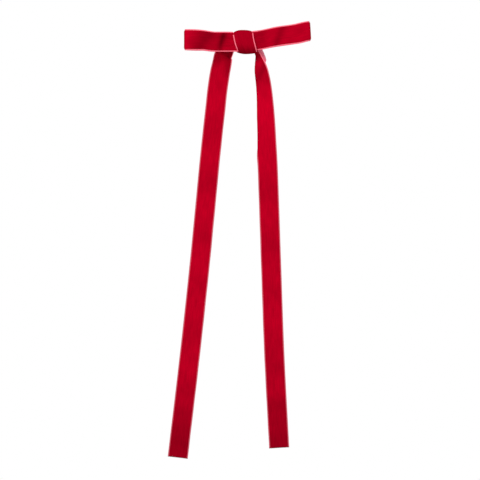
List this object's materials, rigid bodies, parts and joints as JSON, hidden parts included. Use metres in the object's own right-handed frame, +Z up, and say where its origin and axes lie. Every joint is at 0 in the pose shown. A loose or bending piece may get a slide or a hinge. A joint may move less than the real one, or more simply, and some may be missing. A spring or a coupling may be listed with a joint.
{
  "type": "ribbon hair bow",
  "caption": "Slim velvet ribbon hair bow with two loops, a wrapped knot and long tails, on a sprung toothed hair clip.",
  "frame": {"origin": "on the flat jaw's gripping face, straight behind the middle of the knot", "axes": "+X to the viewer's right along the clip, +Z up against the tails' fall, the bow's face looks along -Y"},
  "size_m": [0.1004, 0.0295, 0.3035],
  "materials": {
    "velvet_ribbon": "polyester velvet pile, red, with light pink woven selvedges",
    "lining_ribbon": "red grosgrain ribbon",
    "binding_thread": "polyester sewing thread",
    "hot_melt_glue": "set hot-melt glue, milky",
    "nickel_steel": "bright nickel-plated pressed sheet",
    "spring_wire": "drawn spring wire"
  },
  "bodies": {
    "root": {"left_loop": "velvet_ribbon", "right_loop": "velvet_ribbon", "knot_wrap": "velvet_ribbon", "binding_thread": "binding_thread", "glue_pad": "hot_melt_glue", "clip_lining": "lining_ribbon", "upper_jaw": "nickel_steel", "jaw_spring": "spring_wire", "pivot_pin": "nickel_steel"},
    "lower_jaw": {"lower_jaw": "nickel_steel"},
    "left_tail": {"left_tail": "velvet_ribbon"},
    "right_tail": {"right_tail": "velvet_ribbon"}
  },
  "joints": [
    {"name": "jaw_hinge", "type": "hinge", "parent": "root", "child": "lower_jaw", "pos_m": [0.005, 0.0034, 0.001], "axis": [0, 0, -1], "range_deg": [0, 28], "stiffness_Nm_per_rad": 0.05, "springref_deg": -28.65, "deforming": ["jaw_spring"]},
    {"name": "left_tail_swing", "type": "hinge", "parent": "root", "child": "left_tail", "pos_m": [-0.0065, -0.0055, -0.001], "axis": [0, 1, 0], "range_deg": [-7, 40]},
    {"name": "right_tail_swing", "type": "hinge", "parent": "root", "child": "right_tail", "pos_m": [0.0065, -0.0045, -0.001], "axis": [0, -1, 0], "range_deg": [-2, 40]}
  ]
}
